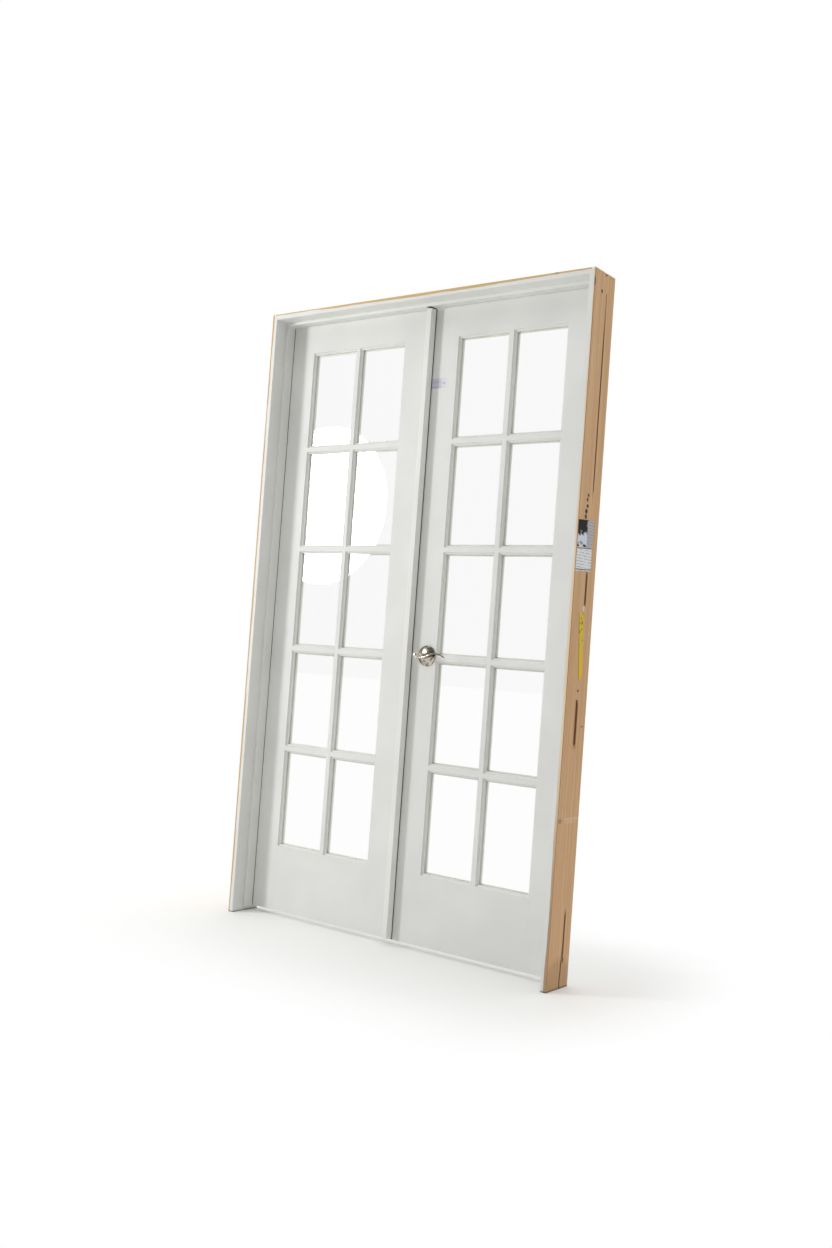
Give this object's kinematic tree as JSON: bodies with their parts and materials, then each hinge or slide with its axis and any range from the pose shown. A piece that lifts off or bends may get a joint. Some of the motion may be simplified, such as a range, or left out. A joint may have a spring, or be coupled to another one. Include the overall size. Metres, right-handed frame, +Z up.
{
  "type": "french door unit",
  "caption": "Pair of glazed wooden french doors pre-hung in a jamb frame with stops, butt hinges, a meeting astragal, flush bolts and a lever latch.",
  "frame": {"origin": "floor level, at the middle of the unit's overall box in plan", "axes": "+X along the opening to the viewer's right, +Y away from the viewer, the way the leaves swing, +Z up"},
  "size_m": [1.2652, 0.189, 2.07],
  "materials": {
    "primed_wood": "white primer, matt, painted wood",
    "jamb_pine": "finger-jointed pine, raw on the back, primed on the faces that show",
    "clear_glass": "clear flat glass",
    "satin_nickel": "satin nickel plate",
    "plain_steel": "plain zinc-plated steel",
    "dowel_beech": "raw hardwood dowel"
  },
  "bodies": {
    "frame": {"left_jamb": "jamb_pine", "right_jamb": "jamb_pine", "head_jamb": "jamb_pine", "left_stop": "primed_wood", "right_stop": "primed_wood", "head_stop": "primed_wood", "head_nails": "plain_steel", "left_top_hinge_jamb_plate": "satin_nickel", "left_middle_hinge_jamb_plate": "satin_nickel", "left_bottom_hinge_jamb_plate": "satin_nickel", "right_top_hinge_jamb_plate": "satin_nickel", "right_middle_hinge_jamb_plate": "satin_nickel", "right_bottom_hinge_jamb_plate": "satin_nickel", "left_hinge_pins": "satin_nickel", "right_hinge_pins": "satin_nickel", "jamb_hinge_screws": "plain_steel"},
    "left_leaf": {"left_hinge_stile": "primed_wood", "left_lock_stile": "primed_wood", "left_top_rail": "primed_wood", "left_bottom_rail": "primed_wood", "left_upright_muntin": "primed_wood", "left_cross_muntins": "primed_wood", "left_glass_panes": "clear_glass", "left_glazing_beads": "primed_wood", "left_rail_dowels": "dowel_beech", "left_leaf_hinge_screws": "plain_steel", "left_top_hinge_leaf_plate": "satin_nickel", "left_middle_hinge_leaf_plate": "satin_nickel", "left_bottom_hinge_leaf_plate": "satin_nickel", "astragal": "primed_wood", "strike_plate": "satin_nickel", "top_flush_plate": "satin_nickel", "bottom_flush_plate": "satin_nickel"},
    "right_leaf": {"right_hinge_stile": "primed_wood", "right_lock_stile": "primed_wood", "right_top_rail": "primed_wood", "right_bottom_rail": "primed_wood", "right_upright_muntin": "primed_wood", "right_cross_muntins": "primed_wood", "right_glass_panes": "clear_glass", "right_glazing_beads": "primed_wood", "right_rail_dowels": "dowel_beech", "right_leaf_hinge_screws": "plain_steel", "right_top_hinge_leaf_plate": "satin_nickel", "right_middle_hinge_leaf_plate": "satin_nickel", "right_bottom_hinge_leaf_plate": "satin_nickel", "latch_face_plate": "satin_nickel", "latch_case": "satin_nickel", "front_rose": "satin_nickel", "rear_rose": "satin_nickel", "rose_screws": "plain_steel"},
    "lever_pair": {"front_lever": "satin_nickel", "rear_lever": "satin_nickel", "spindle": "plain_steel"},
    "latch": {"latch_bolt": "satin_nickel"},
    "top_bolt": {"top_flush_rod": "satin_nickel"},
    "bottom_bolt": {"bottom_flush_rod": "satin_nickel"}
  },
  "joints": [
    {"name": "left_leaf_swing", "type": "hinge", "parent": "frame", "child": "left_leaf", "pos_m": [-0.6131, 0.0335, 1.035], "axis": [0, 0, 1], "range_deg": [0, 160]},
    {"name": "right_leaf_swing", "type": "hinge", "parent": "frame", "child": "right_leaf", "pos_m": [0.6131, 0.0335, 1.035], "axis": [0, 0, -1], "range_deg": [0, 160]},
    {"name": "lever_turn", "type": "hinge", "parent": "right_leaf", "child": "lever_pair", "pos_m": [0.072, 0.00905, 0.924], "axis": [0, 1, 0], "range_deg": [0, 50], "stiffness_Nm_per_rad": 1.2, "springref_deg": -28.65},
    {"name": "latch_slide", "type": "slide", "parent": "right_leaf", "child": "latch", "axis": [1, 0, 0], "range_m": [0, 0.0106]},
    {"name": "top_bolt_slide", "type": "slide", "parent": "left_leaf", "child": "top_bolt", "axis": [0, 0, 1], "range_m": [0, 0.013]},
    {"name": "bottom_bolt_slide", "type": "slide", "parent": "left_leaf", "child": "bottom_bolt", "axis": [0, 0, -1], "range_m": [0, 0.013]}
  ],
  "couplings": [
    {"joint": "latch_slide", "follows": "lever_turn", "m_per_rad": 0.012}
  ]
}
